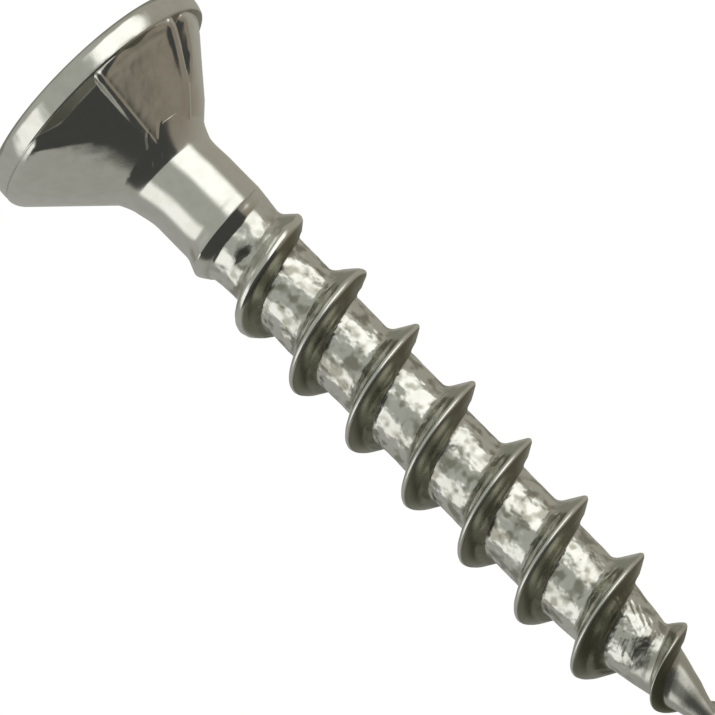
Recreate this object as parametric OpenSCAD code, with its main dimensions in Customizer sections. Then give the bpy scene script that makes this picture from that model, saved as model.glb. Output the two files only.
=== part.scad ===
// Flooring screw: one forged and thread-rolled piece of steel wire.
// Millimetres. The screw stands on its flat head: the origin is the centre of the head's top face,
// +Z runs along the axis towards the gimlet point.

/* [Screw] */
// Length from the flat of the head to the point
length = 30; // [22:1:38]
// Diameter of the plain shank, which is the wire before the thread is rolled
shank_d = 3.24; // [2.9:0.02:3.8]

/* [Head] */
// Diameter of the head over its rim
head_d = 8.8; // [7.6:0.1:10.2]
// Height of the sharp lower edge of the rim over the flat of the head
rim_h = 0.88; // [0.7:0.02:1]
// Radius of the bulge of the rim
rim_round = 1.1; // [0.8:0.05:1.5]
// Rounding of the edge round the flat of the head
top_round = 0.24; // [0.1:0.02:0.3]
// Included angle of the countersunk underside, over the ribs
csk_angle = 90; // [86:1:96]
// Height at which the ribs would meet the rim if that corner were sharp
corner_h = 1.13; // [1.08:0.01:1.3]
// Rounding of that corner
corner_round = 0.6; // [0.3:0.05:0.9]
// Radius of the neck between the flats and the shank
neck_round = 3.2; // [2.4:0.1:4]
// Radius of the long soft run of the neck into the shank
lead_round = 5.5; // [3:0.5:8]

/* [Flats and ribs under the head] */
// Number of flats, and of the ribs that stand between them
rib_n = 8; // [6:1:10]
// Width of a rib next to the rim
rib_w = 0.2; // [0.12:0.02:0.4]
// Height of a rib over the corner between two flats
rib_h = 0.06; // [0.03:0.01:0.12]
// Radius of the run of a rib into the neck
rib_round = 3; // [2.4:0.1:3.6]
// Width of the ledge between the rim and the middle of a flat
ledge_w = 0.38; // [0.28:0.01:0.44]
// Depth of that ledge along the axis
ledge_h = 0.2; // [0.14:0.01:0.26]
// How much steeper a flat stands than a rib, in degrees
flat_ease = 3.5; // [2.5:0.5:5]
// Turn of the first rib about the axis
rib_turn = 263.5; // [0:0.5:359.5]

/* [Cross recess] */
// Span of the four wings at the flat of the head
wing_span = 4.5; // [3.6:0.1:5]
// Span of the four wings at the floor of the recess
wing_foot = 2.4; // [1.6:0.1:2.8]
// Thickness of a wing
wing_t = 0.96; // [0.7:0.02:1.2]
// Depth of the wings
wing_depth = 2.1; // [1.6:0.1:2.4]
// Depth of the small cone below the floor
pilot_depth = 0.45; // [0.2:0.05:0.6]
// Span of the shallow notches between the wings
notch_span = 2.7; // [2:0.1:3]
// Thickness of those notches
notch_t = 0.34; // [0.2:0.02:0.5]

/* [Thread] */
// Diameter over the thread
thread_d = 4.4; // [4:0.1:5.2]
// Diameter of the core between the turns
core_d = 2.81; // [2.4:0.01:2.86]
// Distance between neighbouring turns
pitch = 2.632; // [2.2:0.02:3.2]
// Height at which the crest leaves the shank
thread_from = 6.38; // [5.9:0.02:9]
// Turns that the crest takes to reach its full height
grow_turns = 2; // [1:0.1:3]
// Width of the flat on the crest
crest_w = 0.18; // [0.1:0.02:0.3]
// Included angle of the two flanks
flank_angle = 53; // [40:1:60]
// Turn at which the thread begins
thread_turn = 180; // [0:1:359]

/* [Point] */
// Length over which the core narrows to the point
core_point = 4.3; // [3.5:0.1:6]
// Length over which the crest narrows to the point
crest_point = 5.34; // [4.5:0.02:7]
// Radius that is left on the point itself
point_r = 0.06; // [0.04:0.01:0.15]
// Height of the crest over the core, just before the point
point_fin = 0.09; // [0.05:0.01:0.14]

/* [Hidden] */
$fn = 96;

zinc = [0.78, 0.78, 0.74];
shank_r = shank_d / 2;
head_r = head_d / 2;
thread_r = thread_d / 2;
core_r = core_d / 2;
csk_h = csk_angle / 2;

// Tilt of the surface along the head's outline, 0 being upright as on the shank
edge_tilt = 8;
neck_tilts = [38, 33, 18];
lead_tilt = 10;
function on_arc(c, r, tilt) = c + r * [cos(tilt), sin(tilt)];

// Rim, down to its sharp lower edge
rim_c = [head_r - rim_round, rim_h - rim_round * sin(edge_tilt)];
rim_edge = on_arc(rim_c, rim_round, edge_tilt);

// The outline over the ribs, sunk by a gap: its apex, its rounded corner and its run into the neck
function apex_z(gap) = corner_h + head_r / tan(csk_h) - gap / sin(csk_h);
function corner_c(gap) = [head_r - gap - corner_round,
    apex_z(gap) - (head_r - gap) / tan(csk_h) - corner_round * tan(csk_h / 2)];
rib_sink = 0.1;
rib_gap = 0.03;
rib_c = [shank_r - rib_sink + rib_round,
    apex_z(0) + (rib_round - (shank_r - rib_sink + rib_round) * cos(csk_h)) / sin(csk_h)];

// A flat: its middle line runs from the ledge to the neck, where the neck's arc meets it
lead_r = shank_r + lead_round * (1 - cos(lead_tilt));
neck_cr = lead_r + neck_round * cos(neck_tilts[2]);
flat_top = [head_r - ledge_w, rim_h + ledge_h];
flat_slope = tan(csk_h - flat_ease);
flat_foot_r = neck_cr - neck_round * cos(neck_tilts[1]);
flat_foot_z = flat_top[1] + (flat_top[0] - flat_foot_r) / flat_slope;
flat_low = 0.5;
flat_over = 0.6;
flat_high = flat_foot_z + flat_over;
function flat_r(z) = flat_top[0] - flat_slope * (z - flat_top[1]);

// The ledge's cone goes on inside the flats; the neck's arc ends in a crease
ledge_slope = (flat_top[1] - rim_edge[1]) / (rim_edge[0] - flat_top[0]);
ledge_run = 0.5;
ledge_end = flat_top + ledge_run * [-1, ledge_slope];
neck_cz = flat_foot_z + neck_round * sin(neck_tilts[1]);
lead_c = [shank_r + lead_round, neck_cz - neck_round * sin(neck_tilts[2]) + lead_round * sin(lead_tilt)];

// The turned body ends inside the threaded one, which is a little thinner there
seam_back = 0.48;
seam_z = thread_from - seam_back;
seam_lap = 0.1;
seam_step = 0.03;

// The threaded body: columns round the axis, rows that follow the crest
cols = 48;
section = [[-1.5, 0], [-1, 0.12], [-0.6, 0.4], [0, 1], [0, 1], [0.6, 0.4], [1, 0.12], [1.5, 0]];
rows = len(section);
first_turn = -1;
last_turn = ceil((length - thread_from) / pitch) + 2;
row_n = rows * (last_turn - first_turn + 1);
snap = 0.05;

// The crest runs late at first, then catches up with its helix, and rises fast, then slowly
late = 0.36 * pitch;
late_a = 280;
grow_power = 0.8;
grow_a = 360 * grow_turns;
core_from = thread_from - 0.16;
core_full = thread_from + 1.5;

// Widths of the blunt ridge at the start, the least width of a row, and the room that rows may take
start_w = 0.48;
blunt_w = 0.3;
blunt_a = 1000;
least_w = 0.03;
room_flat = 0.03;
room_flank = 0.17;

// The fin fades over this length before the point, and core and cone blend over this radius
fade_l = 1;
core_blend = 0.7;

function arc(c, r, a0, a1, n) = [for (i = [0:n]) on_arc(c, r, a0 + (a1 - a0) * i / n)];
function ease(t) = let (u = min(1, max(0, t))) u * u * (3 - 2 * u);
function soft_min(a, b, k) = let (h = max(0, k - abs(a - b))) min(a, b) - h * h / (4 * k);

// Core radius at a height, from the shank to the point
function core_at(z) =
    let (body = shank_r - (shank_r - core_r) * ease((z - core_from) / (core_full - core_from)))
    let (cone = point_r + core_r * max(0, length - z) / core_point)
    soft_min(body, cone, core_blend);

// Crest height and crest radius after a turn of a degrees from the start of the thread
function crest_z(a) = thread_from + pitch * a / 360 - late * ease(a / late_a);
function crest_r(a) =
    let (grown = shank_r + (thread_r - shank_r) * pow(min(1, max(0, a / grow_a)), grow_power))
    let (cone = point_r + point_fin + thread_r * max(0, length - crest_z(a)) / crest_point)
    min(grown, cone);
function fin_h(a) =
    let (fade = min(1, max(0, (length - crest_z(a)) / fade_l)))
    max(0, crest_r(a) - core_at(crest_z(a))) * fade;

// Half-width of a flank and of the crest's flat, blunt where the thread begins
function flank_w(a) =
    let (sharp = max(least_w, fin_h(a) * tan(flank_angle / 2)))
    let (blunt = 1 - ease(a / grow_a))
    sharp + max(0, start_w - sharp) * blunt;
function flat_w(a) =
    let (blunt = blunt_w * (1 - ease(a / blunt_a)))
    max(least_w, (crest_w + blunt) * min(1, fin_h(a) / (thread_r - core_r))) / 2;
function row_offset(a, s) =
    let (side = s < rows / 2 ? -1 : 1)
    let (f = abs(section[s][0]))
    side * min(flat_w(a) + f * flank_w(a), (room_flat + room_flank * f) * pitch);

// Rows are numbered from the first turn up: turn, then place in the section
function row_a(j, i) = 360 * (j / cols + floor(i / rows) + first_turn);
function row_z(j, i) = crest_z(row_a(j, i)) + row_offset(row_a(j, i), i % rows);
function row_r(j, i) = core_at(row_z(j, i)) + fin_h(row_a(j, i)) * section[i % rows][1];
function column(j) = [
    [shank_r - seam_step, seam_z - seam_lap],
    for (i = [0:row_n - 1]) [row_r(j, i), row_z(j, i)],
    [point_r, length]];

// A row that would pass the bottom or the point is gathered into the ring there
function knot(j, i) =
    let (col = j % cols)
    let (row = j < cols ? i : i + rows)
    let (low = row < 0 || (row < row_n && row_z(col, row) < seam_z + snap))
    let (high = row >= row_n || (row >= 0 && row_z(col, row) > length - snap))
    col * (row_n + 2) + (low ? 0 : high ? row_n + 1 : row + 1);
function differ(t) = t[0] != t[1] && t[1] != t[2] && t[2] != t[0];

// Flat of the head, rim and the narrow ledge below it
module rim() {
    rotate_extrude()
        polygon(concat(
            [[0, 0]],
            arc([head_r - top_round, top_round], top_round, -90, 0, 5),
            arc(rim_c, rim_round, 0, edge_tilt, 2),
            [ledge_end, [0, ledge_end[1]]]));
}

// The body whose skin the ribs and the corners of the flats follow
module underside(gap) {
    rotate_extrude()
        polygon(concat(
            [[0, flat_low], [head_r - gap, flat_low]],
            arc(corner_c(gap), corner_round, 0, csk_h, 8),
            arc(rib_c, rib_round + gap, 180 + csk_h, 180, 9),
            [[0, rib_c[1]]]));
}

// A cone of rib_n sides, inside the same skin
module flats() {
    across = cos(180 / rib_n);
    intersection() {
        underside(rib_gap + rib_h);
        translate([0, 0, flat_low])
            rotate(rib_turn)
                cylinder(h = flat_high - flat_low, r1 = flat_r(flat_low) / across,
                    r2 = flat_r(flat_high) / across, $fn = rib_n);
    }
}

// Radial plates that thin towards the axis
module ribs() {
    thin = 0.45;
    near = 1;
    intersection() {
        underside(rib_gap);
        for (k = [0:rib_n - 1])
            rotate(rib_turn - k * 360 / rib_n)
                linear_extrude(rib_c[1])
                    polygon([
                        [near, -thin * rib_w / 2],
                        [head_r, -rib_w / 2],
                        [head_r, rib_w / 2],
                        [near, thin * rib_w / 2]]);
    }
}

// Neck with its crease, long soft lead and plain shank
module neck_and_shank() {
    rotate_extrude()
        polygon(concat(
            [[0, flat_low], [flat_foot_r / 2, flat_low]],
            arc([neck_cr, neck_cz], neck_round, 180 + neck_tilts[0], 180 + neck_tilts[2], 7),
            arc(lead_c, lead_round, 180 + lead_tilt, 180, 4),
            [[shank_r, seam_z], [0, seam_z]]));
}

// Core, helical thread and gimlet point as one closed skin
module threaded_body() {
    points = [for (j = [0:cols - 1]) for (p = column(j))
        let (a = 360 * j / cols)
        [p[0] * cos(a), p[0] * sin(a), p[1]]];
    skin = [for (j = [0:cols - 1]) for (i = [-1:row_n - 1])
        let (a = knot(j, i))
        let (b = knot(j + 1, i))
        let (c = knot(j + 1, i + 1))
        let (d = knot(j, i + 1))
        for (t = [[a, c, b], [a, d, c]])
            if (differ(t)) t];
    bottom = [for (j = [0:cols - 1]) j * (row_n + 2)];
    top = [for (j = [cols - 1:-1:0]) j * (row_n + 2) + row_n + 1];
    rotate(thread_turn)
        polyhedron(points, concat(skin, [bottom, top]), convexity = 12);
}

// A plate with a tapering outline, cut down into the flat of the head
module tapered_slot(top, foot, depth, t) {
    over = 0.2;
    flare = over * (top - foot) / depth;
    rotate([90, 0, 0])
        translate([0, 0, -t / 2])
            linear_extrude(t)
                polygon([
                    [-(top + flare) / 2, -over],
                    [(top + flare) / 2, -over],
                    [foot / 2, depth],
                    [-foot / 2, depth]]);
}

// Two crossed wings, two shallow notches at half turns between them, and a small cone below
module cross_recess() {
    lap = 0.01;
    pilot_r = 0.1;
    for (a = [0, 90])
        rotate(a)
            tapered_slot(wing_span, wing_foot, wing_depth, wing_t);
    for (a = [45, 135])
        rotate(a)
            tapered_slot(notch_span, wing_t, wing_depth, notch_t);
    translate([0, 0, wing_depth - lap])
        cylinder(h = pilot_depth + lap, r1 = wing_t / sqrt(2), r2 = pilot_r);
}

module screw() {
    color(zinc)
        difference() {
            union() {
                rim();
                flats();
                ribs();
                neck_and_shank();
                threaded_body();
            }
            cross_recess();
        }
}

screw();
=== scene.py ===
"""Flooring screw: the whole screw in bright zinc plate, standing on its head on a pale floor.

Sizes in the panel are metres, as Blender's are. The outlines below are worked out in millimetres.
Side angles run round the axis from the side that the photograph shows upper right (-X), towards the camera.
"""

from collections import namedtuple
from math import ceil, cos, degrees, pi, radians, sin, sqrt, tan
from types import SimpleNamespace

import bmesh
import bpy
import numpy as np
from bpy.props import FloatProperty, FloatVectorProperty, IntProperty, PointerProperty
from mathutils import Matrix, Vector, noise


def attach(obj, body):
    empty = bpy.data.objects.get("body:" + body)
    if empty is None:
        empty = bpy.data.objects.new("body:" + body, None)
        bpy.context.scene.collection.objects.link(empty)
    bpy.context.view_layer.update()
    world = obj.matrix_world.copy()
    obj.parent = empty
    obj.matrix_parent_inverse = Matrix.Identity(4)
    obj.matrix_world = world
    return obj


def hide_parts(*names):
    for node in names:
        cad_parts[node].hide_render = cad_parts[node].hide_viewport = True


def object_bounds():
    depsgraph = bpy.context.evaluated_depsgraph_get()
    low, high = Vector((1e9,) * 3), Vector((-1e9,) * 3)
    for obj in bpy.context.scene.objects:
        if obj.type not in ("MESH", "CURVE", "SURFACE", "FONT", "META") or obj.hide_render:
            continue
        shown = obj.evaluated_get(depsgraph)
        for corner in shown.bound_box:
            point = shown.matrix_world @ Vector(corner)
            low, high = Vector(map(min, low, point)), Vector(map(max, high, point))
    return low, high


bl_info = {
    "name": "Flooring screw",
    "version": (1, 0, 0),
    "blender": (4, 5, 0),
    "location": "3D View > Sidebar > Screw",
    "description": "Builds a zinc-plated flooring screw and the studio it stands in",
    "category": "Object",
}

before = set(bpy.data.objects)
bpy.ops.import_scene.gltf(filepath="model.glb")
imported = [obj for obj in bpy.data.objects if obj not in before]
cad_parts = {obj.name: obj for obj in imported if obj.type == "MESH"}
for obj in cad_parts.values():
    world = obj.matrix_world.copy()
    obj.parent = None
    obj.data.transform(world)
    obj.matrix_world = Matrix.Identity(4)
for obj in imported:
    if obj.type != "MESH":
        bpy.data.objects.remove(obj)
CAD_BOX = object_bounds()
MM = 0.001


def size(name, description, default):
    """A length that the panel shows, given in millimetres and kept in metres."""
    return FloatProperty(name=name, description=description, default=default * MM, unit="LENGTH",
                         precision=5)


def angle(name, description, default):
    """An angle that the panel shows, given in degrees and kept in radians."""
    return FloatProperty(name=name, description=description, default=radians(default), subtype="ANGLE")


def colour(name, description, default):
    """A colour without alpha, in Blender's linear values."""
    return FloatVectorProperty(name=name, description=description, default=default, subtype="COLOR", size=3,
                               min=0, max=4)


class HeadSizes(bpy.types.PropertyGroup):
    """Head, neck and shank."""

    head_d: size("Head", "Diameter of the head over its rim", 2 * CAD_BOX[1].x / MM)
    shank_d: size("Shank", "Diameter of the plain shank", 3.24)
    rim_h: size("Rim", "Height of the sharp upper edge of the rim", 0.88)
    rim_bulge: size("Rim bulge", "How far the rim bulges between its edges", 0.05)
    top_round: size("Edge", "Rounding of the edge round the flat of the head", 0.24)
    corner_h: size("Corner", "Height at which the ribs would meet the rim if that corner were sharp", 1.13)
    corner_round: size("Corner rounding", "Rounding of that corner", 0.6)
    ledge_w: size("Ledge width", "Width of the ledge between the rim and the middle of a flat", 0.38)
    ledge_h: size("Ledge depth", "Depth of that ledge along the axis", 0.2)
    neck_round: size("Neck", "Radius of the neck between the flats and the shank", 3.2)
    lead_round: size("Lead", "Radius of the soft run of the neck into the shank", 5.5)
    runout: size("Run-out", "How far the forged underside sits off the axis", 0.09)
    csk_angle: angle("Countersink", "Included angle of the underside, over the ribs", 90)
    flat_ease: angle("Flat", "How much steeper a flat stands than a rib", 3.5)
    rib_n: IntProperty(name="Ribs", description="Number of ribs under the head", default=8, min=3)
    rib_w: size("Rib width", "Width of a rib", 0.2)
    rib_h: size("Rib height", "Height of a rib over the skin beside it", 0.035)
    rib_turn: angle("First rib", "Side angle of the first rib", 83.5)


class ThreadSizes(bpy.types.PropertyGroup):
    """Thread and point."""

    length: size("Length", "Length from the flat of the head to the point", CAD_BOX[1].z / MM)
    thread_d: size("Thread", "Diameter over the thread", 4.4)
    core_d: size("Core", "Diameter of the core between the turns", 2.81)
    pitch: size("Pitch", "Distance between neighbouring turns", 2.632)
    thread_from: size("Start", "Height at which the crest leaves the shank", 6.38)
    grow_turns: FloatProperty(name="Growth", description="Turns that the crest takes to full height",
                              default=2)
    crest_w: size("Crest", "Width of the rounded crest", 0.22)
    flank_angle: angle("Flanks", "Included angle of the two flanks", 53)
    core_point: size("Core taper", "Length over which the core narrows to the point", 4.5)
    crest_point: size("Crest taper", "Length over which the crest narrows to the point", 5.34)
    point_r: size("Point", "Radius that is left on the point", 0.06)
    point_fin: size("Point fin", "Height of the crest over the core just before the point", 0.09)


class RecessSizes(bpy.types.PropertyGroup):
    """Cross recess, type Z."""

    wing_span: size("Wings", "Span of the four wings at the flat of the head", 4.5)
    wing_foot: size("Wings at floor", "Span of the four wings at the floor of the recess", 2.4)
    wing_t: size("Wing", "Thickness of a wing", 0.96)
    wing_depth: size("Depth", "Depth of the wings", 2.1)
    pilot_depth: size("Cone", "Depth of the small cone below the floor", 0.45)
    notch_span: size("Notches", "Span of the shallow notches between the wings", 2.7)
    notch_t: size("Notch", "Thickness of those notches", 0.34)
    lip: size("Lip", "Bevel along the edges of the recess", 0.05)


class ZincLook(bpy.types.PropertyGroup):
    """Bright zinc plate."""

    plate: colour("Plate", "Colour of the zinc", (0.80, 0.80, 0.755))
    tarnish: colour("Tarnish", "Colour of the zinc where it has dulled", (0.70, 0.685, 0.62))
    gloss: FloatProperty(name="Roughness", description="Roughness of the smooth plate", default=0.12)
    dull: FloatProperty(name="Roughness, dull", description="Roughness between the turns", default=0.22)
    # Darker colour in the pits of the roots
    pit_colour: colour("Pits", "Colour in the small pits between the turns", (0.28, 0.27, 0.205))
    # Painted shade: the flanks that face the point get this dark colour in place of the dark reflection they
    # show; the point gets some of it too
    flank: colour("Flanks", "Colour of the dull flanks that face the point", (0.27, 0.27, 0.21))
    # Painted shade: a dark colour in a line along the rim's lower edge and on the ledge under it
    corner_shade: colour("Shade", "Colour in the corner under the rim", (0.44, 0.44, 0.39))
    grain: FloatProperty(name="Grain", description="Strength of the fine unevenness", default=1.0)


class StudioLook(bpy.types.PropertyGroup):
    """Camera, floor and the studio that the metal mirrors."""

    elevation: angle("Elevation", "Height of the camera over the horizon", 11.9)
    roll: angle("Roll", "Turn of the picture that lays the axis along its diagonal", 45.54)
    view_w: size("View", "Width of the view at the screw", 23.03)
    aim_x: size("Aim across", "Place beside the axis that the camera looks at", -0.047)
    aim_z: size("Aim height", "Height on the axis that the camera looks at", 12.69)
    lens: FloatProperty(name="Lens", description="Focal length of the camera in millimetres", default=1000)
    floor: colour("Floor", "Colour of the floor", (0.5, 0.5, 0.5))
    right_lamp: colour("Right lamp", "Colour of the tall lamp right of the camera", (1.30, 1.30, 1.25))
    left_lamp: colour("Left lamp", "Colour of the tall lamp left of the camera", (1.08, 1.08, 1.04))
    front: colour("Front", "Colour of the studio behind the camera", (0.40, 0.41, 0.37))
    ceiling: colour("Ceiling", "Colour of the ceiling over the camera", (0.055, 0.055, 0.052))
    overhead: colour("Overhead", "Colour high behind the screw", (0.095, 0.095, 0.07))
    beneath: colour("Beneath", "Colour low behind the screw", (0.22, 0.22, 0.18))
    low_left: colour("Room, low left", "Colour of the room, low on the left", (0.38, 0.38, 0.36))
    low_right: colour("Room, low right", "Colour of the room, low on the right", (0.37, 0.355, 0.305))
    high_left: colour("Room, high left", "Colour of the room, high on the left", (0.36, 0.36, 0.33))
    high_right: colour("Room, high right", "Colour of the room, high on the right", (0.262, 0.234, 0.19))


def in_mm(group):
    """The values of a property group as plain numbers: lengths in millimetres, angles in degrees."""
    values = {}
    for key in group.__annotations__:
        prop = group.bl_rna.properties[key]
        value = getattr(group, key)
        if prop.unit == "LENGTH":
            value /= MM
        elif prop.subtype == "ANGLE":
            value = degrees(value)
        values[key] = value
    return SimpleNamespace(**values)


def ease(t):
    """Soft step from 0 to 1 as t goes from 0 to 1."""
    t = min(1.0, max(0.0, t))
    return t * t * (3 - 2 * t)


def near(x, centre, reach):
    """1 at the centre, falling softly to 0 at the reach."""
    return ease(1 - abs(x - centre) / reach)


def turn_to(a, b):
    """Signed turn from side angle b to side angle a, in degrees."""
    return (a - b + 180) % 360 - 180


def soft_min(a, b, k):
    """The lesser of two lengths, with the corner between them rounded over k."""
    h = max(0.0, k - abs(a - b))
    return min(a, b) - h * h / (4 * k)


def spaced(low, high, count):
    """Evenly spaced heights, both ends included."""
    return list(np.linspace(low, high, count))


def spaced_after(low, high, count):
    """Evenly spaced heights up to the higher end, without the lower one."""
    return spaced(low, high, count + 1)[1:]


# One flat under the head, as the die pressed it. Lengths are millimetres, turns are degrees.
# rib: height of the rib before it, as a share of a full one
# deeper, slack: how much deeper and less steep it is than the mean flat
# lip: how much higher it is beside the rim
# turn: its turn about the axis
# level: 1 for a plane, 0 for a piece of a round cone
# over, drift: how far past the next rib its far edge lies, and how far that edge moves back towards the neck
# soft: softness of its far edge
FLAT_FIELDS = "rib deeper slack lip turn level over drift soft"
LEAST_SOFT = 0.04
Flat = namedtuple("Flat", FLAT_FIELDS, defaults=(0.0, 0.0, 0.0, 0.0, 1.0, 20.0, 0.0, LEAST_SOFT))


class Head:
    """Radius of the head, neck and shank at a side angle and a height."""

    # Tilt of the neck where it may start, on a mean flat and at its crease, and of the lead after that
    NECK_TILTS = (38, 33, 18)
    LEAD_TILT = 10
    # How much nearer to the point the neck sits than the slope of a mean flat puts it
    NECK_LATE = 0.05
    # The rim's bulge peaks this much nearer to the flat of the head than half-way
    BULGE_SHIFT = 0.04
    # Depth of the ribs under the cone, width of the step beside a rib, rounding of the rim's upper edge
    RIB_GAP = 0.03
    STEP_W = 0.19
    EDGE = 0.05
    FLATS = (
        Flat(rib=1.0, deeper=0.06, slack=0.085, level=0.3, over=1.0, drift=20.0, soft=0.1),
        Flat(rib=0.0, deeper=-0.5, soft=0.3),
        Flat(rib=0.0, deeper=-0.5, soft=0.3),
        Flat(rib=0.6, soft=0.1),
        Flat(rib=1.0, deeper=0.02, turn=2.0),
        Flat(rib=0.8, deeper=-0.03, turn=-2.0, soft=0.1),
        Flat(rib=0.1, deeper=-0.4, soft=0.2),
        Flat(rib=1.0, deeper=0.02, turn=-1.0, lip=0.1, soft=0.1),
    )
    # Height over which a flat loses its lip, and turn over which its far edge rises
    LIP_H = 0.4
    FAR_EDGE = 18
    # Height at which a far edge starts to move back, and the length over which it does
    DRIFT = (1.0, 1.5)
    # The last rib leans: its place and reach round the axis, lean in degrees per millimetre, and its end
    LEAN = (36, 30, 4.5, 2.7)
    # Groove that the die left before that rib: turn before it, depth, height from which it has run out and
    # the length of that run, rise of its far wall and width of its near one
    GROOVE_TURN = 4.2
    GROOVE_DEEP = 0.5
    GROOVE_END = (2.75, 0.9)
    GROOVE_RISE = 0.92
    GROOVE_NEAR = 0.12
    # The underside is worn down on one side: side angle, reach, depth at the rim and how that falls off
    WORN = (-8, 42, 0.30, 0.14)
    # Height from which the underside runs out, and the length over which it comes to it
    RUNOUT_FROM = (0.2, 0.9)
    # Steps in which the lines of a column are looked for, those that may hold the ledge's end, and the room
    # at both ends of the search
    MARK_STEPS = 240
    LEDGE_STEPS = 60
    MARK_ROOM = (0.02, 0.15)
    # Turns of the rows on the rounded edge, then numbers of rows: rim, its upper edge, ledge, underside,
    # neck up to its crease, lead, shank
    EDGE_TURNS = (0, 15, 30, 45, 60, 75, 90)
    ROWS = (8, 8, 3, 34, 10, 8, 4)
    # Gaps between rows at the lines of a column, and at the neck's crease
    LINE_GAP = 0.004
    CREASE_GAP = 0.01

    def __init__(self, s):
        self.s = s
        self.r = s.head_d / 2
        self.shank_r = s.shank_d / 2
        self.half = radians(s.csk_angle / 2)
        steep = self.half - radians(s.flat_ease)
        first, foot, end = (radians(t) for t in self.NECK_TILTS)
        lead = radians(self.LEAD_TILT)
        self.lead_cr = self.shank_r + s.lead_round
        self.neck_cr = self.lead_cr - s.lead_round * cos(lead) + s.neck_round * cos(end)
        self.flat_top = (self.r - s.ledge_w, s.rim_h + s.ledge_h)
        self.flat_slope = tan(steep)
        foot_r = self.neck_cr - s.neck_round * cos(foot)
        foot_z = self.flat_top[1] + (self.flat_top[0] - foot_r) / self.flat_slope + self.NECK_LATE
        self.neck_cz = foot_z + s.neck_round * sin(foot)
        self.crease_z = self.neck_cz - s.neck_round * sin(end)
        self.lead_cz = self.crease_z + s.lead_round * sin(lead)
        self.neck_top = self.neck_cz - s.neck_round * sin(first)
        self.sector = 360 / s.rib_n
        self.ribs = [(s.rib_turn + k * self.sector) % 360 for k in range(s.rib_n)]
        self.rim_mid = (s.rim_h + s.top_round) / 2 - self.BULGE_SHIFT
        self.edge_from = s.rim_h - self.EDGE
        self.edge_to = s.rim_h + self.EDGE

    def rim(self, z):
        s = self.s
        bulge = s.rim_bulge * ((z - self.rim_mid) / (s.rim_h - self.rim_mid)) ** 2
        edge = 0.0
        if z < s.top_round:
            edge = s.top_round - sqrt(max(0.0, s.top_round ** 2 - (s.top_round - z) ** 2))
        return self.r - bulge - edge

    def ledge(self, z):
        s = self.s
        top = self.rim(s.rim_h)
        return top - (z - s.rim_h) * (top - self.flat_top[0]) / s.ledge_h

    def cone(self, z, gap):
        """Outline over the ribs, sunk by a gap, with its rounded corner at the rim."""
        s = self.s
        apex = s.corner_h + self.r / tan(self.half) - gap / sin(self.half)
        wall = self.r - gap
        corner_z = apex - wall / tan(self.half) - s.corner_round * tan(self.half / 2)
        fall = z - corner_z
        if fall <= 0:
            return wall
        if fall < s.corner_round * sin(self.half):
            return wall - s.corner_round + sqrt(s.corner_round ** 2 - fall ** 2)
        return (apex - z) * tan(self.half)

    def flat_at(self, k):
        return self.FLATS[k % len(self.FLATS)]

    def worn(self, a, z):
        """Depth to which the underside is worn down on its one side."""
        side, reach, deep, fall = self.WORN
        return max(0.0, deep - fall * (z - self.s.rim_h)) * near(turn_to(a, side), 0, reach)

    def groove(self, z, skin, before):
        """The groove beside a rib, at a distance before it."""
        end, run = self.GROOVE_END
        deep = self.GROOVE_DEEP * ease((end - z) / run)
        past = before - radians(self.GROOVE_TURN) * skin
        if past > 0:
            return skin - deep + self.GROOVE_RISE * past
        return skin - deep * max(0.0, 1 + past / self.GROOVE_NEAR)

    def under(self, a, z):
        """Flats and ribs: each flat starts with a step beside its rib and runs out before the next one."""
        s = self.s
        count = len(self.ribs)
        k = int(((a - self.ribs[0]) % 360) / self.sector) % count
        off = (a - self.ribs[k]) % 360
        flat, following = self.flat_at(k), self.flat_at((k + 1) % count)
        height = s.rib_h * (flat.rib + (following.rib - flat.rib) * ease(off / self.sector))
        skin = self.cone(z, self.RIB_GAP + height + self.worn(a, z))
        turn = (off - self.sector / 2 - flat.turn) * flat.level
        plane = self.flat_top[0] - (self.flat_slope - flat.slack) * (z - self.flat_top[1]) - flat.deeper
        plane += flat.lip * (1 - ease((z - s.rim_h) / self.LIP_H))
        soft = LEAST_SOFT + (flat.soft - LEAST_SOFT) * ease(off / self.sector)
        drift_from, drift_over = self.DRIFT
        far = self.sector + flat.over - flat.drift * ease((z - drift_from) / drift_over)
        pressed = skin - soft_min(skin, plane / cos(radians(turn)), soft)
        after = radians(off) * skin
        before = radians(self.sector - off) * skin
        pressed *= ease((after - s.rib_w / 2) / self.STEP_W) * ease((far - off) / self.FAR_EDGE)
        body = skin - pressed
        before_last_rib = k == count - 2
        if before_last_rib:
            body = min(body, self.groove(z, skin, before))
        x = min(after, before) / (s.rib_w / 2)
        return body + height * max(0.0, 1 - x * x) ** 2

    def lean(self, a, z):
        """How far a point of the underside is turned back, so that the last rib leans."""
        place, reach, rate, end = self.LEAN
        along = max(0.0, min(z, end) - self.s.rim_h - self.s.ledge_h)
        fade = 1 - ease((z - end) / (self.crease_z - end))
        return rate * along * near(turn_to(a, place), 0, reach) * fade

    def neck(self, z):
        s = self.s
        if z < self.crease_z:
            return self.neck_cr - sqrt(s.neck_round ** 2 - (z - self.neck_cz) ** 2)
        if z < self.lead_cz:
            return self.lead_cr - sqrt(s.lead_round ** 2 - (z - self.lead_cz) ** 2)
        return self.shank_r

    def shift(self, a, z):
        """The run-out of the forged underside, which the neck loses again."""
        start, over = self.RUNOUT_FROM
        fade = ease((z - start) / over)
        fade *= 1 - ease((z - self.crease_z) / (self.lead_cz - self.crease_z))
        return -self.s.runout * cos(radians(a)) * fade

    def marks(self, a):
        """Heights of the lines that every column keeps: end of the ledge and start of the neck."""
        top, foot = self.edge_to + self.MARK_ROOM[0], self.crease_z - self.MARK_ROOM[1]
        heights = spaced(top, foot, self.MARK_STEPS)
        past = [z for z in heights[:self.LEDGE_STEPS] if self.under(a, z) > self.ledge(z)]
        deep = [z for z in heights if z > self.neck_top and self.neck(z) > self.under(a, z)]
        return (past[0] if past else self.flat_top[1]), (deep[0] if deep else foot)

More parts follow.
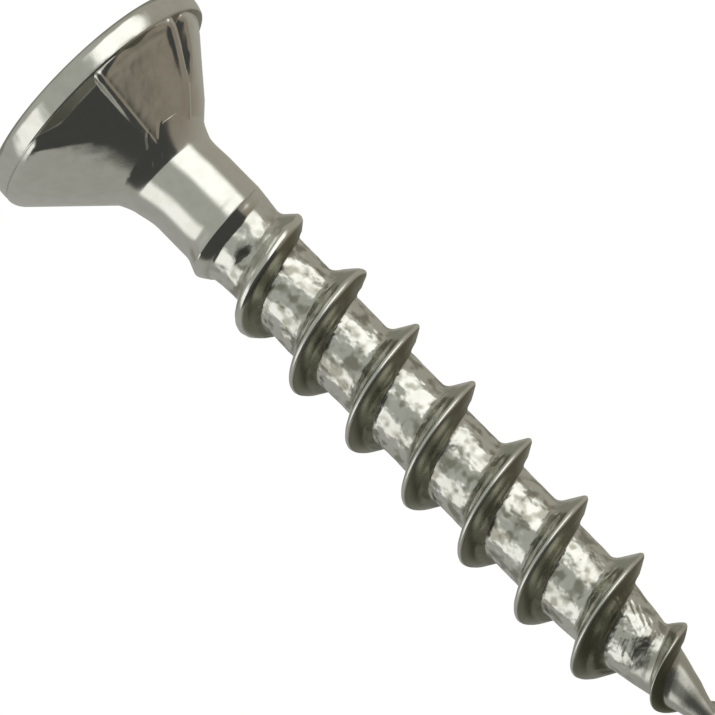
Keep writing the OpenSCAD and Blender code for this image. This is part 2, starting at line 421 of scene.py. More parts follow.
    def radius(self, a, z, ledge_end, neck_from):
        if z < self.edge_from:
            return self.rim(z) + self.shift(a, z)
        if z <= ledge_end:
            body = max(self.ledge(z), self.under(a, z))
        elif z <= neck_from:
            body = self.under(a, z)
        else:
            body = self.neck(z)
        if z < self.edge_to:
            body = soft_min(self.rim(z), body, self.EDGE)
        return body + self.shift(a, z)

    def column(self, a, seam_z):
        """Radius, side angle and height of each row of a column, from the flat of the head to the seam."""
        top_round, gap = self.s.top_round, self.LINE_GAP
        ledge_end, neck_from = self.marks(a)
        rim, edge, ledge, under, neck, lead, shank = self.ROWS
        zs = [top_round * (1 - cos(radians(t))) for t in self.EDGE_TURNS]
        zs += spaced_after(top_round, self.edge_from, rim)
        zs += spaced_after(self.edge_from, self.edge_to, edge)
        zs += spaced_after(self.edge_to, ledge_end - gap, ledge)
        zs += spaced(ledge_end + gap, neck_from - gap, under)
        zs += spaced(neck_from + gap, self.crease_z - self.CREASE_GAP, neck)
        zs += spaced(self.crease_z + self.CREASE_GAP, self.lead_cz, lead)
        zs += spaced_after(self.lead_cz, seam_z, shank + 1)[:-1]
        return [(self.radius(a, z, ledge_end, neck_from), a - self.lean(a, z), z) for z in zs]


class Thread:
    """Core, crest and flanks, each as a function of the turn since the thread's start, in degrees."""

    # Rows from the root up to the crest: place on the flank, where 1 is its foot, 0 the crest's edge, more
    # the fillet and less the crest itself, and rise as a share of the crest's height
    FLANK = (1.5, 1.25, 1.0, 0.8, 0.6, 0.3, 0.0, -0.5)
    RISE = (0.0, 0.04, 0.12, 0.24, 0.40, 0.66, 0.91, 0.975)
    # How far a blunt place rounds those rows off
    ROUND = (0.0, 0.0, 0.0, 0.0, 0.0, 0.2, 0.55, 0.14)
    # Rows between the foot of one turn and that of the next
    ROOT_ROWS = 9
    # Place where a flank runs into its fillet, and share of the fillet towards the head and towards the point
    FILLET_FROM = 0.6
    FILLET = (0.9, 0.4)
    # Most that a row may stand off the crest, as shares of the pitch: at the crest's edge, and more per flank
    FLANK_LIMIT = (0.12, 0.17)
    # The first turn that has rows, and the turns past the length that the last ones have
    FIRST_TURN = -1
    SPARE_TURNS = 2
    # The first turn climbs less: by how much of a pitch, and the turn at which that ends
    LATE = 0.36
    LATE_TURN = 280
    # Growth of the crest: power of its rise, width of its flanks at first, more width and the turn that ends
    # it, and the least width of a row
    GROW_POWER = 0.8
    START_W = 0.48
    BLUNT_W = 0.3
    BLUNT_TURN = 1000
    LEAST_W = 0.03
    # Length over which the crest is lost at the point
    FADE_L = 1.0
    # The core sinks from just before the thread's start, over a run past it, and rounds into its cone
    CORE_EARLY = 0.16
    CORE_RUN = 2.1
    CORE_BLEND = 1.0
    # Rolling marks along the root: height, change from row to row, length in degrees, place in the noise and
    # how fast they come with the crest
    MARK_H = 0.005
    MARK_STEP = 3.7
    MARK_LENGTH = 50
    MARK_PLACE = 1.5
    MARK_GAIN = 2
    # Places where the crest is bent or blunt: turn, reach, size
    BENT = (722, 30, 0.14)
    LOBES = ((552, 60, 0.28), (722, 38, 0.1), (2880, 60, 0.16))
    # A thin line along the first turn of the crest: turn at which it ends, and height
    LINE = (330, 0.014)
    # Dents and a swelling where the thread starts: side angle and its reach, height and its reach, depth
    DENTS = ((84, 26, 7.2, 0.75, 0.075), (97, 38, 8.22, 0.66, 0.13), (146, 34, 7.1, 0.7, -0.05))

    def __init__(self, s, shank_r):
        self.s = s
        self.shank_r = shank_r
        self.thread_r = s.thread_d / 2
        self.core_r = s.core_d / 2
        self.grow = 360 * s.grow_turns
        self.core_from = s.thread_from - self.CORE_EARLY
        self.core_full = s.thread_from + self.CORE_RUN
        self.section = self.RISE + (1.0,) + self.RISE[::-1]
        self.rounding = self.ROUND + (0.0,) + self.ROUND[::-1]
        self.crest_row = len(self.FLANK)
        self.step = len(self.section) + self.ROOT_ROWS
        last_turn = ceil((s.length - s.thread_from) / s.pitch) + self.SPARE_TURNS
        self.rows = self.step * (last_turn - self.FIRST_TURN + 1)

    def core(self, z):
        s = self.s
        sink = ease((z - self.core_from) / (self.core_full - self.core_from))
        body = self.shank_r - (self.shank_r - self.core_r) * sink
        cone = s.point_r + self.core_r * max(0.0, s.length - z) / s.core_point
        return soft_min(body, cone, self.CORE_BLEND)

    def crest_z(self, turn):
        s = self.s
        return s.thread_from + s.pitch * (turn / 360 - self.LATE * ease(turn / self.LATE_TURN))

    def fin(self, turn):
        """Height of the crest over the core."""
        s = self.s
        z = self.crest_z(turn)
        left = max(0.0, s.length - z)
        share = min(1.0, max(0.0, turn / self.grow)) ** self.GROW_POWER
        grown = self.shank_r + (self.thread_r - self.shank_r) * share
        cone = s.point_r + s.point_fin + self.thread_r * left / s.crest_point
        return max(0.0, min(grown, cone) - self.core(z)) * min(1.0, left / self.FADE_L)

    def lobe(self, turn):
        """How much wider a blunt place makes the crest."""
        return sum(size * near(turn, place, reach) for place, reach, size in self.LOBES)

    def offset(self, turn, place):
        """Height of a row over the crest's middle, for its place in the section."""
        if place == self.crest_row:
            return 0.0
        s = self.s
        fin = self.fin(turn)
        sharp = max(self.LEAST_W, fin * tan(radians(s.flank_angle / 2)))
        flank = sharp + max(0.0, self.START_W - sharp) * (1 - ease(turn / self.grow))
        width = s.crest_w + self.BLUNT_W * (1 - ease(turn / self.BLUNT_TURN)) + self.lobe(turn)
        flat = max(self.LEAST_W, width * min(1.0, fin / (self.thread_r - self.core_r))) / 2
        to_point = place > self.crest_row
        side = 1 if to_point else -1
        f = self.FLANK[2 * self.crest_row - place] if to_point else self.FLANK[place]
        if f < 0:
            return -side * f * flat
        if f > self.FILLET_FROM:
            f = self.FILLET_FROM + (f - self.FILLET_FROM) * self.FILLET[to_point]
        at_edge, per_flank = self.FLANK_LIMIT
        return side * min(flat + f * flank, (at_edge + per_flank * f) * s.pitch)

    def dent(self, a, z):
        return sum(deep * near(turn_to(a, side), 0, wide) * near(z, at, long)
                   for side, wide, at, long, deep in self.DENTS)

    def crest_point(self, a, turn, place):
        """Radius, height and rise of a row on the crest or its flanks."""
        rise = self.section[place] - self.rounding[place] * self.lobe(turn)
        bent_turn, reach, bend = self.BENT
        z = self.crest_z(turn) + self.offset(turn, place)
        r = self.core(z) - self.dent(a, z) + self.fin(turn) * rise
        if place == self.crest_row:
            last, height = self.LINE
            r += height * near(turn, 0, last)
        return r, z + bend * near(turn, bent_turn, reach) * rise * rise, rise

    def root_point(self, a, turn, place):
        """Radius, height and rise of a row between two turns."""
        low = self.crest_z(turn) + self.offset(turn, len(self.section) - 1)
        high = self.crest_z(turn + 360) + self.offset(turn + 360, 0)
        z = low + (high - low) * (place - len(self.section) + 1) / (self.ROOT_ROWS + 1)
        at = Vector((self.MARK_STEP * place, turn / self.MARK_LENGTH, self.MARK_PLACE))
        mark = self.MARK_H * noise.noise(at) * min(1.0, self.fin(turn) * self.MARK_GAIN)
        return self.core(z) - self.dent(a, z) + mark, z, 0.0

    def point(self, a, row):
        """Radius and height of one row at a side angle, and its share of the way from root to crest."""
        turn = a + 360 * (row // self.step + self.FIRST_TURN)
        place = row % self.step
        if place < len(self.section):
            return self.crest_point(a, turn, place)
        return self.root_point(a, turn, place)


# Columns beside a rib, in degrees from its middle, and number of gaps between those and the next rib's
BESIDE_RIB = (0.0, 0.6, 1.2, 1.8, 2.4, 3.1, 4.0, 5.2)
BETWEEN_RIBS = 19


def side_angles(head):
    """Side angles of the columns: close together over each rib, evenly spaced between."""
    last = BESIDE_RIB[-1]
    span = head.sector - 2 * last
    between = [last + span * i / BETWEEN_RIBS for i in range(1, BETWEEN_RIBS)]
    steps = list(BESIDE_RIB) + between + [head.sector - c for c in reversed(BESIDE_RIB[1:])]
    return sorted((rib + step) % 360 for rib in head.ribs for step in steps)


class Skin:
    """The screw's skin in columns round the axis: first the head and shank, then the thread and point."""

    # The seam lies this much before the thread's start. Rows within the room of either end join its ring
    SEAM_EARLY = 0.48
    END_ROOM = 0.05
    # Unevenness of the metal: size, start past the seam and the length of that start, length over which the
    # point loses it, share that the crest loses, and scales and shift of its two noises
    UNEVEN = 0.02
    UNEVEN_FROM = (0.3, 0.8)
    UNEVEN_POINT = 1.5
    UNEVEN_CREST = 0.7
    UNEVEN_SCALES = (1.5, 3.1)
    UNEVEN_SHIFT = (7, 3, 1)

    def __init__(self, head_sizes, thread_sizes):
        self.head = Head(head_sizes)
        self.thread = Thread(thread_sizes, self.head.shank_r)
        self.angles = side_angles(self.head)
        self.seam_z = thread_sizes.thread_from - self.SEAM_EARLY
        self.length = thread_sizes.length
        self.point_r = thread_sizes.point_r
        columns = [self.head.column(a, self.seam_z) for a in self.angles]
        self.points = [point for column in columns for point in column]
        self.flat_r = self.points[0][0]
        self.head_rows = len(columns[0])
        self.first = len(self.points)
        self.rows = self.thread.rows + 2
        self.heights = np.zeros((len(self.angles), self.rows))
        for j, a in enumerate(self.angles):
            self.add_thread(j, a)

    def add_thread(self, j, a):
        """One column from the seam to the point. The heights are those that its rows have without ends."""
        self.points.append((self.head.shank_r, a, self.seam_z))
        self.heights[j, 0] = self.seam_z
        for row in range(self.thread.rows):
            r, z, rise = self.thread.point(a, row)
            self.heights[j, row + 1] = z
            z = min(max(z, self.seam_z), self.length)
            self.points.append((r + self.uneven(r, a, z, rise), a, z))
        self.points.append((self.point_r, a, self.length))
        self.heights[j, -1] = self.length

    def uneven(self, r, a, z, rise):
        """Small unevenness of the metal, the same in each run."""
        start, over = self.UNEVEN_FROM
        amount = self.UNEVEN * ease((z - self.seam_z - start) / over)
        amount *= ease((self.length - z) / self.UNEVEN_POINT) * (1 - self.UNEVEN_CREST * rise)
        at = Vector((r * cos(radians(a)), r * sin(radians(a)), z))
        coarse, fine = self.UNEVEN_SCALES
        return amount * (noise.noise(at * coarse) + 0.5 * noise.noise(at * fine + Vector(self.UNEVEN_SHIFT)))

    def knot(self, j, row):
        """Vertex of a column and a thread row: rows past either end are gathered into its ring."""
        if j == len(self.angles):
            j, row = 0, row + self.thread.step
        if row < 0 or (row < self.thread.rows and self.heights[j, row + 1] < self.seam_z + self.END_ROOM):
            place = 0
        elif row >= self.thread.rows or self.heights[j, row + 1] > self.length - self.END_ROOM:
            place = self.rows - 1
        else:
            place = row + 1
        return self.first + j * self.rows + place

    def faces(self):
        """Corners of each face: head and shank, the seam, the thread, and the small flat on the point."""
        count, n = len(self.angles), self.head_rows
        for j in range(count):
            following = (j + 1) % count
            here, there = j * n, following * n
            for i in range(n - 1):
                yield (here + i, here + i + 1, there + i + 1, there + i)
            seam_here, seam_there = self.first + j * self.rows, self.first + following * self.rows
            yield (here + n - 1, seam_here, seam_there, there + n - 1)
            for row in range(-1, self.thread.rows):
                quad = (self.knot(j, row), self.knot(j, row + 1),
                        self.knot(j + 1, row + 1), self.knot(j + 1, row))
                corners = tuple(dict.fromkeys(quad))
                if len(corners) >= 3:
                    yield corners
        yield tuple(self.first + j * self.rows + self.rows - 1 for j in range(count))


def mesh_object(name, bm):
    mesh = bpy.data.meshes.new(name)
    bm.to_mesh(mesh)
    bm.free()
    obj = bpy.data.objects.new(name, mesh)
    bpy.context.scene.collection.objects.link(obj)
    return obj


# Recess: how far its tools reach past the flat of the head, overlap of the cone and the wings, radius of the
# cone's tip, depth of the plug past the wings in depths of the cone, tolerances, and least turn in radians
# of an edge that gets the bevel
TOOL_OVER = 0.3
TOOL_OVERLAP = 0.01
CONE_TIP_R = 0.08
PLUG_ROOM = 3
ON_FLAT = 1e-4
ON_WALL = 1e-3
LIP_EDGE = 0.5


def prism(bm, low, high):
    """Closes two rings of vertices into a solid."""
    bm.faces.new(low[::-1])
    bm.faces.new(high)
    for i in range(len(low)):
        j = (i + 1) % len(low)
        bm.faces.new((low[i], low[j], high[j], high[i]))


def recess_plug(ring, outer, deep):
    """Round plug below the flat of the head, which meets the skin's columns."""
    plug = bmesh.new()
    low = [plug.verts.new((outer * cos(t), outer * sin(t), 0)) for t in ring]
    high = [plug.verts.new((v.co.x, v.co.y, deep)) for v in low]
    prism(plug, low, high)
    return mesh_object("plug", plug)


def recess_slot(depth, top, foot, thick, turn):
    """Tool for two opposite wings: their span at the flat and at the floor, thickness and turn."""
    flare = TOOL_OVER * (top - foot) / depth
    outline = [(-(top + flare) / 2, -TOOL_OVER), ((top + flare) / 2, -TOOL_OVER),
               (foot / 2, depth), (-foot / 2, depth)]
    spin = Matrix.Rotation(radians(turn), 3, "Z")
    slot = bmesh.new()
    walls = [[slot.verts.new(spin @ Vector((x, side * thick / 2, z))) for x, z in outline]
             for side in (-1, 1)]
    prism(slot, *walls)
    bmesh.ops.recalc_face_normals(slot, faces=slot.faces)
    return mesh_object("slot", slot)


def recess_cone(r):
    """Tool for the small cone below the floor of the recess."""
    cone = bmesh.new()
    middle = r.wing_depth + r.pilot_depth / 2 - TOOL_OVERLAP
    bmesh.ops.create_cone(cone, cap_ends=True, segments=32, radius1=r.wing_t / sqrt(2),
                          radius2=CONE_TIP_R, depth=r.pilot_depth,
                          matrix=Matrix.Translation((0, 0, middle)))
    return mesh_object("cone", cone)


def cut_recess(r, ring, outer):
    """The flat of the head with its recess: a plug is cut by the tools and its outer wall is taken off."""
    depth = r.wing_depth
    deep = depth + PLUG_ROOM * r.pilot_depth
    plug = recess_plug(ring, outer, deep)
    tools = [recess_slot(depth, r.wing_span, r.wing_foot, r.wing_t, turn) for turn in (0, 90)]
    tools += [recess_slot(depth, r.notch_span, r.wing_t, r.notch_t, turn) for turn in (45, 135)]
    tools.append(recess_cone(r))
    for tool in tools:
        cut = plug.modifiers.new("cut", "BOOLEAN")
        cut.operation = "DIFFERENCE"
        cut.solver = "EXACT"
        cut.object = tool
    top = bmesh.new()
    top.from_object(plug, bpy.context.evaluated_depsgraph_get())
    for obj in tools + [plug]:
        bpy.data.objects.remove(obj)

    dropped = []
    for face in top.faces:
        middle = face.calc_center_median()
        outside = all(v.co.xy.length > outer - ON_WALL for v in face.verts)
        if (outside and abs(middle.z) >= ON_FLAT) or middle.z > deep - ON_WALL:
            dropped.append(face)
    bmesh.ops.delete(top, geom=dropped, context="FACES")
    lip = [e for e in top.edges if all(abs(v.co.z) < ON_FLAT for v in e.verts)
           and len(e.link_faces) == 2 and e.calc_face_angle(0) > LIP_EDGE]
    if lip and r.lip > 0:
        bmesh.ops.bevel(top, geom=lip, offset=r.lip, segments=2, affect="EDGES", clamp_overlap=True)
    return top


def in_frame(r, a, z):
    """Place in the frame of a radius, a side angle and a height."""
    t = radians(a)
    return (-r * cos(t), -r * sin(t), z)


# Distance within which vertices of the skin and of the recess are joined, in millimetres
JOIN = 2e-4


def screw_mesh(head_sizes, thread_sizes, recess_sizes):
    """One closed skin: recess, flat of the head, rim, underside, shank, thread and point."""
    skin = Skin(head_sizes, thread_sizes)
    bm = bmesh.new()
    verts = [bm.verts.new(in_frame(*point)) for point in skin.points]
    for corners in skin.faces():
        bm.faces.new([verts[i] for i in corners])
    ring = [radians(a) + pi for a in skin.angles]
    top = cut_recess(recess_sizes, ring, skin.flat_r)
    top_mesh = bpy.data.meshes.new("top")
    top.to_mesh(top_mesh)
    top.free()
    bm.from_mesh(top_mesh)
    bpy.data.meshes.remove(top_mesh)
    bmesh.ops.remove_doubles(bm, verts=bm.verts, dist=JOIN)
    loose = [v for v in bm.verts if not v.link_faces]
    bmesh.ops.delete(bm, geom=loose, context="VERTS")
    bmesh.ops.recalc_face_normals(bm, faces=bm.faces)
    bmesh.ops.scale(bm, vec=(MM, MM, MM), verts=bm.verts)
    for face in bm.faces:
        face.smooth = True
    return bm


def rgba(c):
    return (c[0], c[1], c[2], 1.0)


class Graph:
    """Short names for the nodes that a material or the world is made of."""

    def __init__(self, owner):
        owner.use_nodes = True
        self.tree = owner.node_tree
        self.tree.nodes.clear()

    def add(self, kind, **sockets):
        node = self.tree.nodes.new(kind)
        for name, value in sockets.items():
            self.put(node.inputs[name.replace("_", " ")], value)
        return node

    def put(self, socket, value):
        if isinstance(value, bpy.types.NodeSocket):
            self.tree.links.new(value, socket)
        else:
            socket.default_value = value

    def math(self, operation, *values):
        node = self.tree.nodes.new("ShaderNodeMath")
        node.operation = operation
        for socket, value in zip(node.inputs, values):
            self.put(socket, value)
        return node.outputs[0]

    def plus(self, a, b):
        return self.math("ADD", a, b)

    def minus(self, a, b):
        return self.math("SUBTRACT", a, b)

    def times(self, first, *others):
        product = first
        for value in others:
            product = self.math("MULTIPLY", product, value)
        return product

    def step(self, value, low, high):
        """Soft step from 0 to 1 as a value goes from low to high, where low may be the greater."""
        node = self.tree.nodes.new("ShaderNodeMapRange")
        node.interpolation_type = "SMOOTHSTEP"
        for name, v in (("Value", value), ("From Min", low), ("From Max", high)):
            self.put(node.inputs[name], v)
        return node.outputs["Result"]

    def window(self, value, low, high, soft):
        """1 between low and high, with soft edges."""
        rise = self.step(value, low - soft, low + soft)
        fall = self.step(value, high - soft, high + soft)
        return self.minus(rise, fall)

    def mix(self, factor, a, b):
        """Blend of two colours, from a at 0 to b at 1."""
        node = self.tree.nodes.new("ShaderNodeMix")
        node.data_type = "RGBA"
        node.clamp_factor = True
        factor_in, a_in, b_in = (s for s in node.inputs if s.enabled)
        self.put(factor_in, factor)
        for socket, value in ((a_in, a), (b_in, b)):
            self.put(socket, value if isinstance(value, bpy.types.NodeSocket) else rgba(value))
        return [s for s in node.outputs if s.enabled][0]

    def scaled(self, vector, factor):
        node = self.tree.nodes.new("ShaderNodeVectorMath")
        node.operation = "SCALE"
        self.put(node.inputs[0], vector)
        node.inputs["Scale"].default_value = factor
        return node.outputs["Vector"]

    def noise(self, vector, scale, detail, rough=0.5):
        node = self.add("ShaderNodeTexNoise", Vector=vector, Scale=scale, Detail=detail, Roughness=rough)
        return node.outputs["Fac"]


def past(base, edges):
    """Two edges, measured from a base."""
    return [base + edge for edge in edges]


# Noises of the plate: scale, detail and, for the grain, roughness
CLOUDS = (1.8, 4.0)
PITS = (2.2, 1.5)
WAVES = (1.7, 1.0)
RIPPLE = (4.2, 1.0)
GRAIN = (9.0, 3.0, 0.6)
ROLLED = (1.0, 2.0)
# Values between which a cloud and a pit come out of their noise
CLOUD_EDGE = (0.4, 0.64)
PIT_EDGE = (0.45, 0.64)
# Shares of tarnish in a cloud, of the darker colour in a pit and of the flanks' painted-shade colour on the
# point, and how much a flank faces the head where its pits stay plain and where they are darker
TARNISHED = 0.35
PIT_SHARE = 0.75
TIP_DARK = 0.3
DARK_PIT_FACING = (-0.6, -0.25)
# What each place adds to the roughness
MORE_ROUGH = (("cloudy", 0.04), ("flank", 0.14), ("crest", 0.16), ("corner", 0.25), ("tip", 0.12))
# Heights of the relief in millimetres, and heights on the axis between which the forged head has its waves
WAVES_H = 0.10
RIPPLE_H = 0.03
ROLLED_H = 0.006
GRAIN_H = 0.0016
FORGED_H = 0.02
SCRATCH_H = -0.016
RIDGE_H = 0.005
FORGED_TO = (3.2, 2.4)
# How finely the rolling marks follow each other across the thread and along it
ROLLED_ACROSS = 11.0
ROLLED_ALONG = 1.6


class Places:
    """Where a point of the plate lies: its coordinates in millimetres, and masks from 0 to 1."""

    # Where the thread's own looks set in past its start, root marks over the core and before the point, and
    # the crest under the thread's outline
    THREADED = (0.4, 2.2)
    ROOT = (0.4, 0.05)
    BEFORE_POINT = (-2.8, -4.2)
    CREST = (-0.12, -0.03)
    # How squarely a flank has to face the point to be duller and to get painted shade, and the ledge to get
    # painted shade
    FLANK_FACING = (0.5, 0.74)
    LEDGE_FACING = (0.76, 0.83)
    # Painted shade past the rim's edge: where it lies on the ledge, where in a line along the edge, share of
    # that line, and softness
    LEDGE = (0, 0.3)
    LINE = (0.01, 0.07)
    LINE_SHARE = 0.75
    CORNER_SHADE_SOFT = 0.02

    def __init__(self, g, thread, rim_h):
        coordinates = g.add("ShaderNodeTexCoord").outputs
        self.at = g.scaled(coordinates["Object"], 1 / MM)
        xyz = g.add("ShaderNodeSeparateXYZ", Vector=self.at).outputs
        self.x, y, self.z = xyz["X"], xyz["Y"], xyz["Z"]
        self.facing = g.add("ShaderNodeSeparateXYZ", Vector=coordinates["Normal"]).outputs["Z"]
        across = g.math("SQRT", g.plus(g.math("POWER", self.x, 2.0), g.math("POWER", y, 2.0)))
        self.turn = g.math("ARCTAN2", self.x, g.times(y, -1.0))

        threaded = g.step(self.z, *past(thread.thread_from, self.THREADED))
        root = g.step(across, *past(thread.core_d / 2, self.ROOT))
        crest = g.step(across, *past(thread.thread_d / 2, self.CREST))
        before_point = g.step(self.z, *past(thread.length, self.BEFORE_POINT))
        self.root = g.times(threaded, root, before_point)
        self.tip = g.minus(1.0, before_point)
        self.crest = g.times(crest, threaded)
        # Flanks that face the point: rougher, and painted shade in their colour
        self.flank = g.times(g.step(self.facing, *self.FLANK_FACING), threaded)
        # The rim's corner: painted shade in a line along its edge and on the ledge below it, and rougher
        ledge, line = (g.window(self.z, *past(rim_h, edges), self.CORNER_SHADE_SOFT)
                       for edges in (self.LEDGE, self.LINE))
        ledge = g.times(ledge, g.step(self.facing, *self.LEDGE_FACING))
        self.corner = g.math("MAXIMUM", ledge, g.times(line, self.LINE_SHARE))
        self.cloudy = g.step(g.noise(self.at, *CLOUDS), *CLOUD_EDGE)


def zinc_tint(g, look, on):
    """Colour: tarnish in clouds, darker pits in the roots, darker towards the point, painted shade on the
    flanks that face the point and in the rim's corner.
    """
    pits = g.step(g.noise(on.at, *PITS), *PIT_EDGE)
    # Pits in the roots are darker, except where the surface faces the head
    dark_pits = g.times(pits, on.root, PIT_SHARE, g.step(on.facing, *DARK_PIT_FACING))
    tint = g.mix(g.times(on.cloudy, TARNISHED), look.plate, look.tarnish)
    tint = g.mix(dark_pits, tint, look.pit_colour)
    # Darker towards the point, with the colour that paints shade on the flanks
    tint = g.mix(g.times(on.tip, TIP_DARK), tint, look.flank)
    # Painted shade on the flanks that face the point
    tint = g.mix(on.flank, tint, look.flank)
    # Painted shade in the rim's corner
    return g.mix(on.corner, tint, look.corner_shade)


def zinc_roughness(g, look, on):
    """Roughness: smooth on head and shank, duller in the roots, in the tarnish clouds, on the flanks that
    face the point, on the crest, in the rim's corner and on the point.
    """
    roughness = g.plus(look.gloss, g.times(on.root, look.dull - look.gloss))
    for place, more in MORE_ROUGH:
        roughness = g.plus(roughness, g.times(getattr(on, place), more))
    return roughness


def rolling_marks(g, pitch, on):
    """Marks that run along the thread: noise that is drawn out along the helix."""
    phase = g.minus(on.z, g.times(on.turn, pitch / (2 * pi)))
    along = g.add("ShaderNodeCombineXYZ", X=g.times(phase, ROLLED_ACROSS), Y=g.times(on.turn, ROLLED_ALONG))
    return g.noise(along.outputs["Vector"], *ROLLED)


def neck_scratches(g, on):
    """Two slanting scratches on the neck, below the first rib."""
    middle, degrees_per_mm, soft = 3.4, 23.5, 2.0
    slant = g.minus(g.times(on.turn, 180 / pi), g.times(g.minus(on.z, middle), degrees_per_mm))
    both = g.plus(g.window(slant, -14.0, -10.5, soft), g.window(slant, -0.5, 2.5, soft))
    return g.times(both, g.window(on.z, 3.08, 3.85, soft=0.12))


def point_ridges(g, on):
    """Row of short ridges on the last turn before the point."""
    apart, along, across = 0.16, 0.38, 0.92
    skew = g.minus(g.times(on.z, along), g.times(on.x, across))
    ridges = g.math("SINE", g.times(skew, 2 * pi / apart))
    return g.times(ridges, g.window(on.z, 24.6, 25.9, soft=0.15), g.window(on.x, -1.0, -0.35, soft=0.1))


def zinc_relief(g, pitch, on):
    """Height of the fine relief: waves, ripple and rolling marks in the roots, waves on the forged head."""
    waves = g.noise(on.at, *WAVES)
    deep = g.plus(g.times(waves, WAVES_H), g.times(g.noise(on.at, *RIPPLE), RIPPLE_H))
    deep = g.plus(deep, g.times(rolling_marks(g, pitch, on), ROLLED_H))
    height = g.plus(g.times(deep, on.root), g.times(g.noise(on.at, *GRAIN), GRAIN_H))
    height = g.plus(height, g.times(waves, g.step(on.z, *FORGED_TO), FORGED_H))
    height = g.plus(height, g.times(neck_scratches(g, on), SCRATCH_H))
    return g.plus(height, g.times(point_ridges(g, on), RIDGE_H))


def zinc_material(look, thread, rim_h):
    """Bright zinc plate: glossy on head and shank, duller and marked between the turns."""
    material = bpy.data.materials.new("bright_zinc_plate")
    g = Graph(material)
    on = Places(g, thread, rim_h)
    relief = zinc_relief(g, thread.pitch, on)
    bump = g.add("ShaderNodeBump", Height=relief, Strength=look.grain, Distance=MM)
    shader = g.add("ShaderNodeBsdfPrincipled", Base_Color=zinc_tint(g, look, on), Metallic=1.0,
                   Roughness=zinc_roughness(g, look, on), Normal=bump.outputs["Normal"])
    g.add("ShaderNodeOutputMaterial", Surface=shader.outputs["BSDF"])
    return material


class SCREW_OT_body(bpy.types.Operator):
    """Make the screw and put it in place of the solid from the frame"""

    bl_idname = "screw.body"
    bl_label = "Screw"

    # Angle between two faces from which their edge shows as a sharp one
    SHARP_EDGE = 48

    def execute(self, context):
        scene = context.scene
        head, thread = in_mm(scene.screw_head), in_mm(scene.screw_thread)
        screw = mesh_object("zinc_screw", screw_mesh(head, thread, in_mm(scene.screw_recess)))
        screw.data.set_sharp_from_angle(angle=radians(self.SHARP_EDGE))
        screw.data.materials.append(zinc_material(scene.screw_zinc, thread, head.rim_h))
        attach(screw, "root")
        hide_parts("screw")
        return {"FINISHED"}


# Edges of the room's colours, then of the studio's other parts. Front, right and beside are shares of the way
# towards the camera, to its right and to either side, side and rise are degrees round the axis and upwards
ROOM_RIGHT = (-0.3, 0.5)
ROOM_RISE = (0, 35)
CEILING_RISE = (10, 19)
OVERHEAD = (("front", 0.1, -0.1), ("rise", 20, 42), ("beside", 0.48, 0.34))
BENEATH = (("front", -0.3, -0.5), ("rise", -24, -38))
FRONT = (("front", -0.05, 0.19), ("right", 0.72, 0.6))
RIGHT_LAMP = (20, 78)
LEFT_LAMP = (-86, -46)
LAMP_RISE = (-34, 15)
LAMP_SOFT = 8
LAMP_RISE_SOFT = 5


def studio_world(look):
    """Pale studio: two tall lamps beside the camera, a dark ceiling in front and a grey room behind."""
    world = bpy.data.worlds.new("studio")
    g = Graph(world)
    xyz = g.add("ShaderNodeSeparateXYZ", Vector=g.add("ShaderNodeTexCoord").outputs["Generated"]).outputs
    right, front = g.times(xyz["X"], -1.0), g.times(xyz["Y"], -1.0)
    side = g.times(g.math("ARCTAN2", right, front), 180 / pi)
    rise = g.times(g.math("ARCSINE", xyz["Z"]), 180 / pi)
    ways = {"front": front, "right": right, "beside": g.math("ABSOLUTE", right), "rise": rise}

    to_right = g.step(right, *ROOM_RIGHT)
    low = g.mix(to_right, look.low_left, look.low_right)
    high = g.mix(to_right, look.high_left, look.high_right)
    sky = g.mix(g.step(rise, *ROOM_RISE), low, high)
    ahead = g.mix(g.step(rise, *CEILING_RISE), look.front, look.ceiling)
    for edges, tone in ((OVERHEAD, look.overhead), (BENEATH, look.beneath), (FRONT, ahead)):
        sky = g.mix(g.times(*(g.step(ways[way], *ends) for way, *ends in edges)), sky, tone)
    for edges, tone in ((RIGHT_LAMP, look.right_lamp), (LEFT_LAMP, look.left_lamp)):
        lamp = g.times(g.window(side, *edges, LAMP_SOFT), g.window(rise, *LAMP_RISE, LAMP_RISE_SOFT))
        sky = g.mix(lamp, sky, tone)

    path = g.add("ShaderNodeLightPath").outputs
    white = (1, 1, 1)
    shader = g.add("ShaderNodeBackground", Color=g.mix(path["Is Camera Ray"], sky, white), Strength=1.0)
    g.add("ShaderNodeOutputWorld", Surface=shader.outputs["Background"])
    return world


# Floor: radius in metres, how far it lies below the head, and the glow that makes it white to the camera
FLOOR_R = 0.4
FLOOR_DROP = 1e-5
FLOOR_GLOW = 0.92


def floor_material(look):
    """Pale floor that stays white to the camera and takes a light shadow."""
    material = bpy.data.materials.new("pale_floor")
    g = Graph(material)
    matt = g.add("ShaderNodeBsdfDiffuse", Color=rgba(look.floor))
    seen = g.add("ShaderNodeLightPath").outputs["Is Camera Ray"]
    glow = g.add("ShaderNodeEmission", Color=(1, 1, 1, 1), Strength=g.times(seen, FLOOR_GLOW))
    both = g.add("ShaderNodeAddShader")
    g.put(both.inputs[0], matt.outputs[0])
    g.put(both.inputs[1], glow.outputs[0])
    g.add("ShaderNodeOutputMaterial", Surface=both.outputs[0])
    return material


def make_floor(look):
    bm = bmesh.new()
    bmesh.ops.create_circle(bm, cap_ends=True, segments=96, radius=FLOOR_R)
    floor = mesh_object("floor", bm)
    floor.location.z = -FLOOR_DROP
    floor.data.materials.append(floor_material(look))
    floor.visible_glossy = False
    return floor


# Nearest and farthest that the camera shows, as shares of its distance
CLIP = (1 / 20, 20)


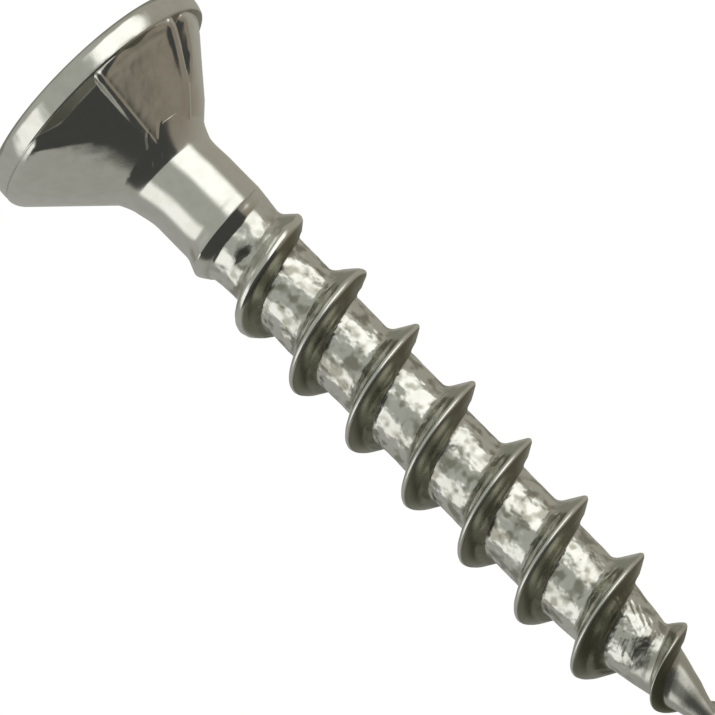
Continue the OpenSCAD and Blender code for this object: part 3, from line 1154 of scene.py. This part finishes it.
def make_camera(look):
    """Camera in front of the screw and a little towards the point, rolled so that the axis is a diagonal."""
    e, roll = look.elevation, look.roll
    back = Vector((0, -cos(e), sin(e)))
    right = Vector((-1, 0, 0))
    along = Vector((0, sin(e), cos(e)))
    picture_right = sin(roll) * right + cos(roll) * along
    picture_up = cos(roll) * right - sin(roll) * along
    data = bpy.data.cameras.new("camera")
    data.lens = look.lens
    distance = look.view_w * data.lens / data.sensor_width
    data.clip_start, data.clip_end = (share * distance for share in CLIP)
    camera = bpy.data.objects.new("camera", data)
    spot = Vector((look.aim_x, 0, look.aim_z)) + back * distance
    columns = (picture_right, picture_up, back, spot)
    camera.matrix_world = Matrix([[column[i] for column in columns] for i in range(3)] + [[0, 0, 0, 1]])
    return camera


class SCREW_OT_stage(bpy.types.Operator):
    """Make the floor, the studio's light and the camera at the photograph's angle"""

    bl_idname = "screw.stage"
    bl_label = "Stage"

    def execute(self, context):
        scene = context.scene
        look = scene.screw_studio
        scene.view_settings.view_transform = "Standard"
        scene.world = studio_world(look)
        make_floor(look)
        camera = make_camera(look)
        scene.collection.objects.link(camera)
        scene.camera = camera
        return {"FINISHED"}


class SCREW_PT_panel(bpy.types.Panel):
    """The screw's sizes and looks, and what makes it"""

    bl_label = "Flooring screw"
    bl_idname = "SCREW_PT_panel"
    bl_space_type = "VIEW_3D"
    bl_region_type = "UI"
    bl_category = "Screw"

    def draw(self, context):
        for label, holder, _ in GROUPS:
            group = getattr(context.scene, holder)
            box = self.layout.box()
            box.label(text=label)
            for key in group.__annotations__:
                box.prop(group, key)
        for operator in OPERATORS:
            self.layout.operator(operator.bl_idname)


GROUPS = (
    ("Head", "screw_head", HeadSizes),
    ("Thread", "screw_thread", ThreadSizes),
    ("Recess", "screw_recess", RecessSizes),
    ("Zinc", "screw_zinc", ZincLook),
    ("Studio", "screw_studio", StudioLook),
)
OPERATORS = (SCREW_OT_body, SCREW_OT_stage)


def register():
    for cls in [group[2] for group in GROUPS] + list(OPERATORS) + [SCREW_PT_panel]:
        bpy.utils.register_class(cls)
    for _, holder, cls in GROUPS:
        setattr(bpy.types.Scene, holder, PointerProperty(type=cls))


def unregister():
    for _, holder, _ in GROUPS:
        delattr(bpy.types.Scene, holder)
    for cls in [SCREW_PT_panel] + list(OPERATORS) + [group[2] for group in GROUPS]:
        bpy.utils.unregister_class(cls)


def main():
    register()
    bpy.ops.screw.body()
    bpy.ops.screw.stage()


if __name__ == "__main__":
    main()
